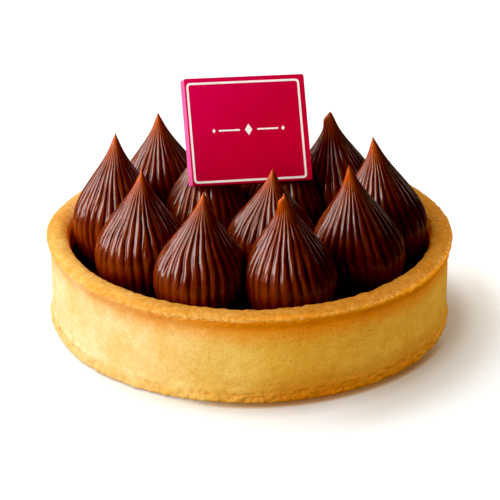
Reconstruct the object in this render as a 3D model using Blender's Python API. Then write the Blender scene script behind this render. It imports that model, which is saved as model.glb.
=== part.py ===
"""Chocolate tart: a round shortcrust shell, its dark filling, twelve piped ridged
swirls and the thin square plaque that leans on the two swirls at the middle.

Lengths are millimetres here and turn into metres where a mesh is made. The origin
is the middle of the underside, +Z is up and -Y is the front.
"""

import math
from collections import namedtuple

import bmesh
import bpy
from mathutils import Matrix, Vector

MM = 0.001

# Shortcrust shell: an upright wall, a thin lip over it and a flat floor
SHELL_FOOT_RADIUS = 40.1
SHELL_WALL_RADIUS = 39.7
SHELL_LIP_RADIUS = 40.5
SHELL_HEIGHT = 19.0
SHELL_INNER_RADIUS = 36.0
SHELL_FLOOR = 4.0
LIP_LEVEL = 17.5
LIP_UNDERSIDE_LEVEL = 15.4
CROWN_RADIUS = 38.3
RIM_INNER_EDGE_RADIUS = 36.4
RIM_INNER_EDGE_DROP = 1.0
FOOT_ROUNDING = 0.6
FOOT_SEAM_LEVEL = 2.0
FOOT_SEAM_DEPTH = 0.35
SHELL_SEGMENTS = 80
ARC_STEPS = 4

# Waves that leave the baked shell slightly out of round: (count, size, phase)
WALL_WAVES = ((2, 0.06, -0.4), (4, 0.07, 3.3), (10, 0.05, 1.2))
RIM_WAVES = ((3, 0.08, 1.0), (7, 0.07, 0.3), (13, 0.05, 2.6))

# Gap left between pieces that touch
CLEARANCE = 0.3

# Filling inside the shell
FILLING_TOP = 12.5
FILLING_EDGE_ROUNDING = 0.5
FILLING_SEGMENTS = 64

# Piped swirls: a belly near the seat, then a long sweep up to a thin tip
SWIRL_SEAT = FILLING_TOP + CLEARANCE
BELLY_RISE = 5.6
FOOT_TUCK = 0.10
FOOT_POWER = 2.5
SWEEP_ROUND_SHARE = 0.7
SWEEP_ROUND_POWER = 1.13
SWEEP_POINT_POWER = 0.75
LEAN_POWER = 2.2
RIDGE_COUNT = 32
RIDGE_DEPTH_SHARE = 0.05
RIDGE_TWIST = math.radians(12.0)
SWIRL_RING_SHARES = (0.0, 0.12, 0.25, 0.44, 0.64, 0.84)
SWIRL_WALL_LIMIT = SHELL_INNER_RADIUS - CLEARANCE
CONTACT_SOFTNESS = 3.0
FACING_LIMIT = 0.05

# Where each swirl stands, its belly radius, its tip's height and how its tip leans
Swirl = namedtuple("Swirl", "name x y radius tip lean_x lean_y")
SWIRLS = (
    Swirl("swirl_front_right", 7.7, -25.2, 9.35, 37.0, -1.2, 0.0),
    Swirl("swirl_right_front", 21.1, -13.8, 9.35, 37.5, -2.1, 0.0),
    Swirl("swirl_right", 26.5, -0.5, 9.30, 37.8, -2.3, 0.4),
    Swirl("swirl_right_back", 17.8, 14.5, 9.20, 37.0, -1.5, 0.0),
    Swirl("swirl_back", 0.2, 25.4, 9.60, 36.8, 0.6, -0.5),
    Swirl("swirl_left_back", -17.6, 14.7, 9.25, 36.8, -0.9, 0.0),
    Swirl("swirl_left", -26.4, 0.5, 8.90, 38.2, 0.2, 0.4),
    Swirl("swirl_left_front", -21.0, -13.5, 9.30, 36.9, 0.3, 0.0),
    Swirl("swirl_front_left", -9.2, -24.3, 9.30, 36.8, 0.6, 0.0),
    Swirl("swirl_middle_front", 4.5, -7.5, 9.40, 34.5, 0.0, 0.0),
    Swirl("swirl_middle_left", -8.4, 3.7, 8.90, 36.8, -0.2, 2.7),
    Swirl("swirl_middle_right", 6.4, 8.5, 9.00, 36.4, 0.2, 2.9),
)
SWIRLS_UNDER_PLAQUE = ("swirl_middle_left", "swirl_middle_right")

# Square plaque: its front face's lower middle, its size and how it is turned
PLAQUE_WIDTH = 24.8
PLAQUE_HEIGHT = 21.0
PLAQUE_THICKNESS = 2.6
PLAQUE_EDGE_ROUNDING = 0.4
PLAQUE_EDGE_STEPS = 2
PLAQUE_FOOT = (0.6, 0.54, 27.80)
PLAQUE_YAW = math.radians(19.6)
PLAQUE_LEAN = math.radians(29.5)
PLAQUE_ROLL = math.radians(-4.8)

# Finishes: colour, roughness, metallic value
FINISHES = {
    "baked_shortcrust": ((0.72, 0.42, 0.13), 0.75, 0.0),
    "dark_filling": ((0.012, 0.004, 0.002), 0.45, 0.0),
    "piped_chocolate": ((0.075, 0.018, 0.007), 0.30, 0.0),
    "crimson_plaque": ((0.50, 0.002, 0.040), 0.35, 0.0),
}


def clear_scene():
    """Remove what the scene holds at the start."""
    for item in list(bpy.data.objects):
        bpy.data.objects.remove(item, do_unlink=True)


def make_finish(name):
    """Make one material from its row in the table of finishes."""
    colour, roughness, metallic = FINISHES[name]
    finish = bpy.data.materials.new(name)
    finish.use_nodes = True
    shader = finish.node_tree.nodes["Principled BSDF"]
    shader.inputs["Base Color"].default_value = (*colour, 1.0)
    shader.inputs["Roughness"].default_value = roughness
    shader.inputs["Metallic"].default_value = metallic
    return finish


def add_object(name, mesh, finish, parent):
    """Put a mesh into the scene under its parent with its finish."""
    mesh.materials.append(finish)
    piece = bpy.data.objects.new(name, mesh)
    bpy.context.collection.objects.link(piece)
    piece.parent = parent
    return piece


def mesh_from_rings(name, rings, first_cap, last_cap):
    """Join rings of points that run anticlockwise, from the lowest cap point up.

    Each cap is one point, joined to its ring by a fan of triangles.
    """
    work = bmesh.new()
    loops = [[work.verts.new(Vector(point) * MM) for point in ring] for ring in rings]
    first = work.verts.new(Vector(first_cap) * MM)
    last = work.verts.new(Vector(last_cap) * MM)
    count = len(rings[0])
    for lower, upper in zip(loops, loops[1:]):
        for index in range(count):
            after = (index + 1) % count
            work.faces.new((lower[index], lower[after], upper[after], upper[index]))
    for index in range(count):
        after = (index + 1) % count
        work.faces.new((first, loops[0][after], loops[0][index]))
        work.faces.new((last, loops[-1][index], loops[-1][after]))
    bmesh.ops.recalc_face_normals(work, faces=work.faces)
    mesh = bpy.data.meshes.new(name)
    work.to_mesh(mesh)
    work.free()
    mesh.shade_smooth()
    mesh.set_sharp_from_angle(angle=math.radians(35.0))
    return mesh


def arc_points(centre, radii, start, end, steps):
    """Points along part of an ellipse in the plane of radius and height."""
    points = []
    for step in range(steps + 1):
        turn = math.radians(start + (end - start) * step / steps)
        across = centre[0] + radii[0] * math.cos(turn)
        up = centre[1] + radii[1] * math.sin(turn)
        points.append((across, up))
    return points


def shell_outline():
    """The shell's outline as (radius, height), from the foot over the rim to the floor."""
    foot_centre = (SHELL_FOOT_RADIUS - FOOT_ROUNDING, FOOT_ROUNDING)
    foot = arc_points(foot_centre, (FOOT_ROUNDING, FOOT_ROUNDING), -90.0, 0.0, 2)
    seam = [
        (SHELL_WALL_RADIUS - FOOT_SEAM_DEPTH, FOOT_SEAM_LEVEL),
        (SHELL_WALL_RADIUS + FOOT_SEAM_DEPTH / 2, FOOT_SEAM_LEVEL + FOOT_ROUNDING),
        (SHELL_WALL_RADIUS, LIP_UNDERSIDE_LEVEL / 2),
        (SHELL_WALL_RADIUS, LIP_UNDERSIDE_LEVEL),
    ]
    crown_rise = SHELL_HEIGHT - LIP_LEVEL
    outer_crown = arc_points(
        (CROWN_RADIUS, LIP_LEVEL), (SHELL_LIP_RADIUS - CROWN_RADIUS, crown_rise), 0.0, 90.0, ARC_STEPS
    )
    inner_edge = (RIM_INNER_EDGE_RADIUS, SHELL_HEIGHT - RIM_INNER_EDGE_DROP)
    inner_wall = [
        (SHELL_INNER_RADIUS, inner_edge[1] - RIM_INNER_EDGE_DROP),
        (SHELL_INNER_RADIUS, SHELL_FLOOR),
    ]
    return foot + seam + outer_crown + [inner_edge] + inner_wall


def wave_sum(waves, turn):
    """Add up slow waves round the shell."""
    return sum(size * math.sin(count * turn + phase) for count, size, phase in waves)


def rim_dip(turn):
    """How far the rim dips under its full height at an angle."""
    return (sum(wave[1] for wave in RIM_WAVES) + wave_sum(RIM_WAVES, turn)) / 2


def shell_ring(radius, height):
    """One ring of the shell, out of round outside and uneven at the rim."""
    outside = radius > CROWN_RADIUS
    at_rim = height > LIP_UNDERSIDE_LEVEL
    on_base = height <= FOOT_ROUNDING
    ring = []
    for index in range(SHELL_SEGMENTS):
        turn = math.tau * index / SHELL_SEGMENTS
        reach = radius + (wave_sum(WALL_WAVES, turn) if outside and not on_base else 0.0)
        level = height - (rim_dip(turn) if at_rim else 0.0)
        ring.append((reach * math.cos(turn), reach * math.sin(turn), level))
    return ring


def build_shell(finish, parent):
    """The baked shell as one turned solid with its floor."""
    rings = [shell_ring(radius, height) for radius, height in shell_outline()]
    mesh = mesh_from_rings("shortcrust_shell", rings, (0.0, 0.0, 0.0), (0.0, 0.0, SHELL_FLOOR))
    return add_object("shortcrust_shell", mesh, finish, parent)


def build_filling(finish, parent):
    """The dark filling: a round block with a soft upper edge."""
    radius = SHELL_INNER_RADIUS - CLEARANCE
    low = SHELL_FLOOR + CLEARANCE
    edge = arc_points(
        (radius - FILLING_EDGE_ROUNDING, FILLING_TOP - FILLING_EDGE_ROUNDING),
        (FILLING_EDGE_ROUNDING, FILLING_EDGE_ROUNDING),
        0.0,
        90.0,
        2,
    )
    rings = []
    for reach, level in [(radius, low)] + edge:
        turns = [math.tau * index / FILLING_SEGMENTS for index in range(FILLING_SEGMENTS)]
        rings.append([(reach * math.cos(turn), reach * math.sin(turn), level) for turn in turns])
    mesh = mesh_from_rings("filling", rings, (0.0, 0.0, low), (0.0, 0.0, FILLING_TOP))
    return add_object("filling", mesh, finish, parent)


def swirl_radius_share(rise, height):
    """Share of the belly's radius at a rise above the seat, for a swirl of this height."""
    if rise < BELLY_RISE:
        return 1.0 - FOOT_TUCK * (1.0 - rise / BELLY_RISE) ** FOOT_POWER
    climb = min(1.0, (rise - BELLY_RISE) / (height - BELLY_RISE))
    rounded = 0.5 * (1.0 + math.cos(math.pi * climb**SWEEP_ROUND_POWER))
    pointed = (1.0 - climb) ** SWEEP_POINT_POWER
    return SWEEP_ROUND_SHARE * rounded + (1.0 - SWEEP_ROUND_SHARE) * pointed


def room_beside(swirl, origin, direction):
    """How far a swirl may reach from a point of its axis before each neighbour and the wall."""
    ahead = origin.dot(direction)
    reaches = [-ahead + math.sqrt(ahead**2 - origin.length_squared + SWIRL_WALL_LIMIT**2)]
    centre = Vector((swirl.x, swirl.y))
    for other in SWIRLS:
        if other.name == swirl.name:
            continue
        across = Vector((other.x, other.y)) - centre
        distance = across.length
        facing = direction.dot(across.normalized())
        if facing < FACING_LIMIT:
            continue
        share = (distance**2 + swirl.radius**2 - other.radius**2) / (2.0 * distance)
        used = (origin - centre).dot(across.normalized())
        reaches.append((share - CLEARANCE / 2 - used) / facing)
    return reaches


def soft_least(values):
    """A smooth minimum, always a little under the least of the values."""
    least = min(values)
    spread = sum(math.exp(-CONTACT_SOFTNESS * (value - least)) for value in values)
    return least - math.log(spread) / CONTACT_SOFTNESS


def swirl_ring(swirl, share, phase):
    """One ring of a swirl: ridges and grooves in turn, flattened where it meets others."""
    height = swirl.tip - SWIRL_SEAT
    radius = swirl.radius * swirl_radius_share(share * height, height)
    lean = share**LEAN_POWER
    origin = Vector((swirl.x + swirl.lean_x * lean, swirl.y + swirl.lean_y * lean))
    ring = []
    for index in range(2 * RIDGE_COUNT):
        turn = math.tau * index / (2 * RIDGE_COUNT) + phase + RIDGE_TWIST * share
        direction = Vector((math.cos(turn), math.sin(turn)))
        groove = RIDGE_DEPTH_SHARE if index % 2 else 0.0
        reach = soft_least([radius * (1.0 - groove)] + room_beside(swirl, origin, direction))
        point = origin + direction * reach
        ring.append((point.x, point.y, SWIRL_SEAT + share * height))
    return ring


def build_swirl(swirl, phase, finish, parent):
    """One piped swirl from its flat seat to its tip."""
    rings = [swirl_ring(swirl, share, phase) for share in SWIRL_RING_SHARES]
    seat = (swirl.x, swirl.y, SWIRL_SEAT)
    tip = (swirl.x + swirl.lean_x, swirl.y + swirl.lean_y, swirl.tip)
    mesh = mesh_from_rings(swirl.name, rings, seat, tip)
    return add_object(swirl.name, mesh, finish, parent)


def plaque_matrix():
    """Place of the plaque: X along its width, Y up its face, Z out of its front."""
    flat = Vector((math.cos(PLAQUE_YAW), math.sin(PLAQUE_YAW), 0.0))
    facing = Vector((math.sin(PLAQUE_YAW), -math.cos(PLAQUE_YAW), 0.0))
    upward = Vector((0.0, 0.0, math.cos(PLAQUE_LEAN))) - facing * math.sin(PLAQUE_LEAN)
    width = flat * math.cos(PLAQUE_ROLL) + upward * math.sin(PLAQUE_ROLL)
    height = upward * math.cos(PLAQUE_ROLL) - flat * math.sin(PLAQUE_ROLL)
    turned = Matrix((width, height, width.cross(height))).transposed().to_4x4()
    return Matrix.Translation(Vector(PLAQUE_FOOT) * MM) @ turned


def plaque_block(name, grow):
    """A block as large as the plaque and this much more on each side."""
    work = bmesh.new()
    bmesh.ops.create_cube(work, size=1.0)
    size = Vector((PLAQUE_WIDTH, PLAQUE_HEIGHT, PLAQUE_THICKNESS)) + Vector((2.0, 2.0, 2.0)) * grow
    bmesh.ops.scale(work, verts=work.verts, vec=size * MM)
    middle = Vector((0.0, PLAQUE_HEIGHT / 2, -PLAQUE_THICKNESS / 2)) * MM
    bmesh.ops.translate(work, verts=work.verts, vec=middle)
    mesh = bpy.data.meshes.new(name)
    work.to_mesh(mesh)
    work.free()
    return mesh


def build_plaque(finish, parent):
    """The plaque with all its edges rounded."""
    plaque = add_object("plaque", plaque_block("plaque", 0.0), finish, parent)
    plaque.matrix_world = plaque_matrix()
    rounding = plaque.modifiers.new("edge_rounding", "BEVEL")
    rounding.width = PLAQUE_EDGE_ROUNDING * MM
    rounding.segments = PLAQUE_EDGE_STEPS
    rounding.limit_method = "ANGLE"
    return plaque


def press_plaque_seat(swirls, parent):
    """Press the plaque's seat into the two swirls that carry it."""
    cutter = bpy.data.objects.new("plaque_seat", plaque_block("plaque_seat", CLEARANCE))
    bpy.context.collection.objects.link(cutter)
    cutter.parent = parent
    cutter.matrix_world = plaque_matrix()
    cutter.hide_render = True
    cutter.display_type = "WIRE"
    for name in SWIRLS_UNDER_PLAQUE:
        press = swirls[name].modifiers.new("plaque_seat", "BOOLEAN")
        press.operation = "DIFFERENCE"
        press.solver = "EXACT"
        press.object = cutter


def main():
    """Build the whole tart."""
    clear_scene()
    tart = bpy.data.objects.new("tart", None)
    bpy.context.collection.objects.link(tart)
    finishes = {name: make_finish(name) for name in FINISHES}
    build_shell(finishes["baked_shortcrust"], tart)
    build_filling(finishes["dark_filling"], tart)
    swirls = {}
    for index, swirl in enumerate(SWIRLS):
        swirls[swirl.name] = build_swirl(swirl, index, finishes["piped_chocolate"], tart)
    build_plaque(finishes["crimson_plaque"], tart)
    press_plaque_seat(swirls, tart)


main()
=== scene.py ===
"""Looks of a chocolate tart: baked shell, dark filling, piped swirls and a square plaque.

Sizes are millimetres and become metres where a mesh is made. Every piece stands
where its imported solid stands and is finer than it.
"""

import logging
import math
from dataclasses import dataclass, field
from enum import Enum
from typing import Sequence, Union

import bpy
import numpy as np
from bpy.types import Material, Mesh, Node, NodeSocket, NodeTree, Object
from mathutils import Euler, Matrix, Vector


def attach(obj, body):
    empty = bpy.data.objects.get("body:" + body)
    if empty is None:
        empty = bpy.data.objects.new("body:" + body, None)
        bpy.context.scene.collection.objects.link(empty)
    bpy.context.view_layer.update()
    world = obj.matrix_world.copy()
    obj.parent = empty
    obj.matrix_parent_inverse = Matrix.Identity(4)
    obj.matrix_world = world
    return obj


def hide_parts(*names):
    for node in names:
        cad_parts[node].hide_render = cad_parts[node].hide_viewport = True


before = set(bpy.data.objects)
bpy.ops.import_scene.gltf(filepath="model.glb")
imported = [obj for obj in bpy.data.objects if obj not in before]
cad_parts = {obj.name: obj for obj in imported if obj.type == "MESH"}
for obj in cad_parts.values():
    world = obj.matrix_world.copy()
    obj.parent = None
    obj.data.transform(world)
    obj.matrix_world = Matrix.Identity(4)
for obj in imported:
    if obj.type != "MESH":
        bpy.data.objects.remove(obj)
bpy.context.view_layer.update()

LOG = logging.getLogger("tart")
MM = 0.001
BODY = "root"

Array = np.ndarray
Colour = tuple[float, float, float]
Feed = Union[NodeSocket, float, Sequence[float]]
Path = list[tuple[float, float]]
Triple = tuple[float, float, float]
Figure = tuple[list, list]  # points and faces
Layers = tuple[tuple[float, float, float], ...]  # height, shift and bump size of each
Patches = tuple[float, ...]  # height, shift, bump size, and the relief where they start and are full
Span = tuple[float, ...]  # where a change starts and ends, and what it gives there if not 0 and 1


class Slot(Enum):
    """The record's material slots."""

    SHORTCRUST = "baked_shortcrust"
    FILLING = "dark_filling"
    CHOCOLATE = "piped_chocolate"
    PLAQUE = "crimson_plaque"


def smooth_step(values: Array, low: float, high: float) -> Array:
    """Rise smoothly from 0 at low to 1 at high."""
    share = np.clip((values - low) / (high - low), 0.0, 1.0)
    return share * share * (3.0 - 2.0 * share)


def hill(away: Array, width: Array | float) -> Array:
    """Fall smoothly from 1 in the middle to about a third at the width and on to nothing."""
    return np.exp(-((away / width) ** 2))


def degrees_from(angle: float, turn: Array) -> Array:
    """Degrees from an angle to each turn in radians, from -180 to 180."""
    return (np.degrees(turn) - angle + 180.0) % 360.0 - 180.0


def round_places(radius: Array | float, turn: Array, level: Array | float) -> Array:
    """Places at distances from the upright axis, turns in radians and heights."""
    return np.stack(np.broadcast_arrays(radius * np.cos(turn), radius * np.sin(turn), level), axis=-1)


def full_turns(rows: int, count: int) -> Array:
    """Even turns in radians for each row, as (rows, count)."""
    return np.tile(np.linspace(0.0, math.tau, count, endpoint=False), (rows, 1))


@dataclass(frozen=True)
class Unevenness:
    """Smooth random relief in space that is the same each run."""

    seed: int
    cells: int = 24
    turns: tuple = ((0.0, 0.0, 0.0), (0.7, 0.5, 1.1))

    def at(self, points: Array, size: float) -> Array:
        """Relief from about -1 to 1, from two lattices that stand askew.

        Args:
            points: places, with three coordinates in the last axis.
            size: length of one bump, in the units of the points.

        Returns:
            One number for each place.
        """
        table = np.random.default_rng(self.seed).uniform(-1.0, 1.0, (self.cells,) * 3)
        skews = [np.array(Euler(turn).to_matrix()) for turn in self.turns]
        layers = [self._lattice(table, points @ skew / size) for skew in skews]
        return sum(layers) / math.sqrt(len(layers))

    def layers(self, points: Array, layers: Layers) -> Array:
        """Add up layers of relief at some places."""
        return sum(height * self.at(points + shift, size) for height, shift, size in layers)

    def patches(self, points: Array, patches: Patches) -> Array:
        """Flat patches with soft edges, as height at some places."""
        height, shift, size, low, high = patches
        return height * smooth_step(self.at(points + shift, size), low, high)

    def _lattice(self, table: Array, scaled: Array) -> Array:
        """Smooth relief between the random values of one lattice.

        Args:
            table: the lattice's values.
            scaled: places in lattice steps.

        Returns:
            One number for each place.
        """
        corner = np.floor(scaled).astype(int)
        part = scaled - corner
        part = part * part * (3.0 - 2.0 * part)
        total = np.zeros(scaled.shape[:-1])
        for step in np.ndindex(2, 2, 2):
            weight = np.ones(scaled.shape[:-1])
            for axis in range(3):
                along = part[..., axis]
                weight = weight * (along if step[axis] else 1.0 - along)
            index = (corner + np.array(step)) % self.cells
            total += weight * table[index[..., 0], index[..., 1], index[..., 2]]
        return total


def mesh_from_rings(name: str, rings: Array, first_cap: Sequence[float], last_cap: Sequence[float]) -> Mesh:
    """Close a stack of rings into a solid skin.

    Args:
        name: name of the mesh.
        rings: points in millimetres as (rings, points of a ring, 3).
        first_cap: point that closes the first ring.
        last_cap: point that closes the last ring.

    Returns:
        A smooth mesh in metres.
    """
    count, width = rings.shape[:2]
    points = np.vstack([rings.reshape(-1, 3), [first_cap, last_cap]]) * MM
    here = np.arange(width)
    after = (here + 1) % width
    rows = np.arange(count - 1)[:, None] * width
    sides = np.stack([rows + here, rows + after, rows + width + after, rows + width + here], axis=-1)
    faces = sides.reshape(-1, 4).tolist()
    first, last = count * width, count * width + 1
    top = (count - 1) * width
    faces += [(first, b, a) for a, b in zip(here.tolist(), after.tolist())]
    faces += [(last, top + a, top + b) for a, b in zip(here.tolist(), after.tolist())]
    mesh = bpy.data.meshes.new(name)
    mesh.from_pydata(points.tolist(), [], faces)
    mesh.shade_smooth()
    mesh.update()
    return mesh


def add_values(mesh: Mesh, name: str, values: Array, caps: tuple[float, ...]) -> None:
    """Store one number for each point of a mesh: the values, then those of its closing points."""
    layer = mesh.attributes.new(name, "FLOAT", "POINT")
    layer.data.foreach_set("value", np.append(values.ravel(), caps).astype(np.float32))


def add_piece(name: str, mesh: Mesh, finish: Material, nodes: Sequence[str]) -> Object:
    """Put a piece into the scene on its body.

    Args:
        name: name of the piece.
        mesh: its mesh, in metres.
        finish: its material.
        nodes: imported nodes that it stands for.

    Returns:
        The new object.
    """
    piece = bpy.data.objects.new(name, mesh)
    bpy.context.scene.collection.objects.link(piece)
    mesh.materials.append(finish)
    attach(piece, BODY)
    for node in nodes:
        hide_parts(node)
    LOG.info("%s: %d faces", name, len(mesh.polygons))
    return piece


class Bench:
    """Adds and joins the shader nodes of one tree."""

    def __init__(self, tree: NodeTree) -> None:
        """Work on this tree."""
        self.tree = tree

    def feed(self, target: NodeSocket, source: Feed) -> None:
        """Give a socket a link or a fixed value.

        Args:
            target: the socket that takes it.
            source: another node's output, a number, a vector or a colour.
        """
        if isinstance(source, NodeSocket):
            self.tree.links.new(source, target)
        elif isinstance(source, (int, float)):
            target.default_value = source
        else:
            wide = len(target.default_value) == 4 and len(source) == 3
            target.default_value = (*source, 1.0) if wide else tuple(source)

    def add(self, kind: str, inputs: dict[Union[str, int], Feed] | None = None, **settings: object) -> Node:
        """Add a node.

        Args:
            kind: its type name, without ShaderNode.
            inputs: what its sockets get, by name or number.
            **settings: its other properties.

        Returns:
            The node.
        """
        node = self.tree.nodes.new(kind if kind.startswith("NodeGroup") else "ShaderNode" + kind)
        for key, value in settings.items():
            setattr(node, key, value)
        for key, source in (inputs or {}).items():
            self.feed(node.inputs[key], source)
        return node

    def math(self, operation: str, first: Feed, second: Feed) -> NodeSocket:
        """Work out a sum of two numbers, such as ADD."""
        return self.add("Math", {0: first, 1: second}, operation=operation).outputs[0]

    def times(self, first: Feed, *others: Feed) -> NodeSocket:
        """Multiply numbers.

        Args:
            first: first number.
            *others: the other numbers.

        Returns:
            The product's socket.
        """
        for other in others:
            first = self.math("MULTIPLY", first, other)
        return first

    def rise(self, value: Feed, low: float, high: float, start: float = 0.0, end: float = 1.0) -> NodeSocket:
        """Move smoothly from start at low to end at high."""
        inputs = {0: value, 1: low, 2: high, 3: start, 4: end}
        return self.add("MapRange", inputs, interpolation_type="SMOOTHSTEP").outputs[0]

    def mix(self, share: Feed, first: Feed, second: Feed, blend: str = "MIX") -> NodeSocket:
        """Mix a share of a second colour into a first, in the way that blend names."""
        return self.add("Mix", {0: share, 6: first, 7: second}, data_type="RGBA", blend_type=blend).outputs[2]

    def noise(self, place: NodeSocket, scale: Feed, detail: float) -> NodeSocket:
        """Smooth noise in space, with a scale in bumps for each millimetre."""
        return self.add("TexNoise", {"Vector": place, "Scale": scale, "Detail": detail}).outputs["Fac"]


def new_group(name: str, inputs: dict[str, str], outputs: dict[str, str]) -> tuple[Bench, Node, Node]:
    """Start a shared node group.

    Args:
        name: name of the group.
        inputs: socket types by name.
        outputs: socket types by name.

    Returns:
        A bench on its tree, its input node and its output node.
    """
    tree = bpy.data.node_groups.new(name, "ShaderNodeTree")
    for way, sockets in (("INPUT", inputs), ("OUTPUT", outputs)):
        for key, kind in sockets.items():
            tree.interface.new_socket(name=key, in_out=way, socket_type="NodeSocket" + kind)
    bench = Bench(tree)
    return bench, bench.add("NodeGroupInput"), bench.add("NodeGroupOutput")


class SharedEffects:
    """Node groups that more than one finish uses."""

    cloud_detail = 4.0
    cloud_edges = (0.3, 0.7)
    grain_detail = 3.0
    pore_edges = (0.05, 0.35, 1.0, 0.0)
    pore_scale = 0.6
    pore_depth = 0.6

    def __init__(self) -> None:
        """Build each group once."""
        self.clouds = self._build_clouds()
        self.grain = self._build_grain()

    def _build_clouds(self) -> NodeTree:
        """Soft patches between two tones.

        Returns:
            The group, with Place, Patch Size, First and Second going in.
        """
        sockets = {"Place": "Vector", "Patch Size": "Float", "First": "Color", "Second": "Color"}
        bench, inlet, outlet = new_group("cloudy_tone", sockets, {"Tone": "Color", "Share": "Float"})
        given, result = inlet.outputs, outlet.inputs
        noise = bench.noise(given["Place"], bench.math("DIVIDE", 1.0, given["Patch Size"]), self.cloud_detail)
        share = bench.rise(noise, *self.cloud_edges)
        bench.feed(result["Tone"], bench.mix(share, given["First"], given["Second"]))
        bench.feed(result["Share"], share)
        return bench.tree

    def _build_grain(self) -> NodeTree:
        """Fine crumb: a height for bumps and a mask of small pores.

        Returns:
            The group, with Place, Grain Size and Pore Share going in.
        """
        sockets = {"Place": "Vector", "Grain Size": "Float", "Pore Share": "Float"}
        bench, inlet, outlet = new_group("fine_grain", sockets, {"Height": "Float", "Pores": "Float"})
        given, result = inlet.outputs, outlet.inputs
        scale = bench.math("DIVIDE", 1.0, given["Grain Size"])
        noise = bench.noise(given["Place"], scale, self.grain_detail)
        spread = bench.times(scale, self.pore_scale)
        cells = bench.add("TexVoronoi", {"Vector": given["Place"], "Scale": spread})
        near = bench.rise(cells.outputs["Distance"], *self.pore_edges)
        pores = bench.times(near, bench.math("LESS_THAN", cells.outputs["Color"], given["Pore Share"]))
        bench.feed(result["Height"], bench.math("SUBTRACT", noise, bench.times(pores, self.pore_depth)))
        bench.feed(result["Pores"], pores)
        return bench.tree


class Paint(Bench):
    """A bench on a new material with a Principled shader."""

    def __init__(self, name: str, effects: SharedEffects | None = None) -> None:
        """Start the material.

        Args:
            name: name of the material.
            effects: the shared node groups, where it uses them.
        """
        self.material = bpy.data.materials.new(name)
        self.material.use_nodes = True
        super().__init__(self.material.node_tree)
        self.effects = effects
        where = self.add("TexCoord").outputs["Object"]
        self.place = self.add("VectorMath", {0: where, "Scale": 1.0 / MM}, operation="SCALE").outputs[0]

    def finish(self, inputs: dict[str, Feed]) -> Material:
        """Give the shader its values.

        Args:
            inputs: what its sockets get, by name.

        Returns:
            The material.
        """
        for key, source in inputs.items():
            self.feed(self.tree.nodes["Principled BSDF"].inputs[key], source)
        return self.material

    def plain_finish(self, base: Feed, rough: Feed, gloss: float, normal: NodeSocket) -> Material:
        """Finish a material that has just a colour, a roughness, a gloss and bumps."""
        values = {"Base Color": base, "Roughness": rough, "Specular IOR Level": gloss}
        return self.finish({**values, "Normal": normal})

    def stored(self, name: str) -> NodeSocket:
        """Read the numbers that a mesh stores under a name."""
        return self.add("Attribute", attribute_name=name).outputs["Fac"]

    def cloud(self, size: float, first: Colour, second: Colour) -> Node:
        """Place the shared patches of two tones, with Tone and Share coming out."""
        inputs = {"Place": self.place, "Patch Size": size, "First": first, "Second": second}
        return self.add("Group", inputs, node_tree=self.effects.clouds)

    def bumps(self, grain: Span, strength: Feed, distance: float) -> tuple[NodeSocket, NodeSocket]:
        """Place the shared crumb.

        Args:
            grain: size of the grain and share of pores.
            strength: strength of its bumps.
            distance: height of its bumps in metres.

        Returns:
            The bumped normal and the mask of pores.
        """
        inputs = {"Place": self.place, "Grain Size": grain[0], "Pore Share": grain[1]}
        fine = self.add("Group", inputs, node_tree=self.effects.grain)
        height = {"Height": fine.outputs["Height"], "Strength": strength, "Distance": distance}
        return self.add("Bump", height).outputs[0], fine.outputs["Pores"]


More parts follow.
